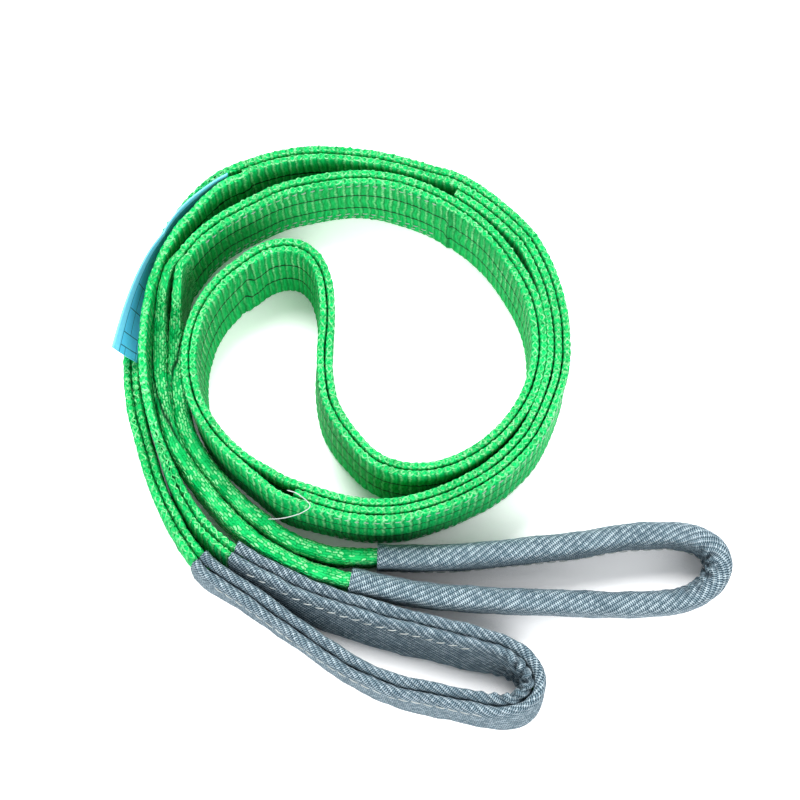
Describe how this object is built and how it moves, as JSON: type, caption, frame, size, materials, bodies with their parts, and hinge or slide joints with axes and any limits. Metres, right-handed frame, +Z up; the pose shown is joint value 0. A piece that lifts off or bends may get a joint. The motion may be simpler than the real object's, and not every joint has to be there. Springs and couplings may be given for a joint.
{
  "type": "web lifting sling",
  "caption": "Flat duplex web lifting sling with a sleeved eye at each end, coiled with its webbing standing on edge and both eyes laid out in front",
  "frame": {"origin": "On the floor under the middle of the whole sling's box", "axes": "+Z up from the floor; +Y from the eyes towards the far side of the coil; +X towards the tip of the right eye"},
  "size_m": [0.2996, 0.281, 0.059],
  "materials": {
    "web": "ribbed woven polyester with two dark lines",
    "sleeve": "coarse twill woven tube",
    "label": "smooth coated cloth",
    "thread": "twisted sewing thread"
  },
  "bodies": {
    "coil": {"ply_a_ring_run": "web", "ply_a_hook_run": "web", "ply_a_lap_run": "web", "ply_b_ring_run": "web", "ply_b_hook_run": "web", "ply_b_outer_run": "web", "ply_c_outer_run": "web", "right_eye_outer_leg": "web", "right_eye_inner_leg": "web", "front_eye_outer_leg": "web", "front_eye_inner_leg": "web", "right_splice_stitching": "thread", "lap_stitching": "thread", "front_splice_stitching": "thread", "label_tab": "label"},
    "front_eye": {"front_eye_sleeve": "sleeve", "front_eye_web": "web", "front_sleeve_seam_inner_leg": "thread", "front_sleeve_seam_outer_leg": "thread"},
    "right_eye": {"right_eye_sleeve": "sleeve", "right_eye_web": "web", "right_sleeve_seam": "thread"},
    "label": {"label": "label"}
  },
  "joints": [
    {"name": "front_eye_swing", "type": "hinge", "parent": "coil", "child": "front_eye", "pos_m": [-0.09913, -0.06011, 0], "axis": [0, 0, 1], "range_deg": [-15, 0]},
    {"name": "right_eye_swing", "type": "hinge", "parent": "coil", "child": "right_eye", "pos_m": [-0.02603, -0.06681, 0], "axis": [0, 0, 1], "range_deg": [0, 10]},
    {"name": "label_swing", "type": "hinge", "parent": "coil", "child": "label", "pos_m": [-0.12553, 0.09465, 0], "axis": [0, 0, 1], "range_deg": [-25, 0]}
  ]
}
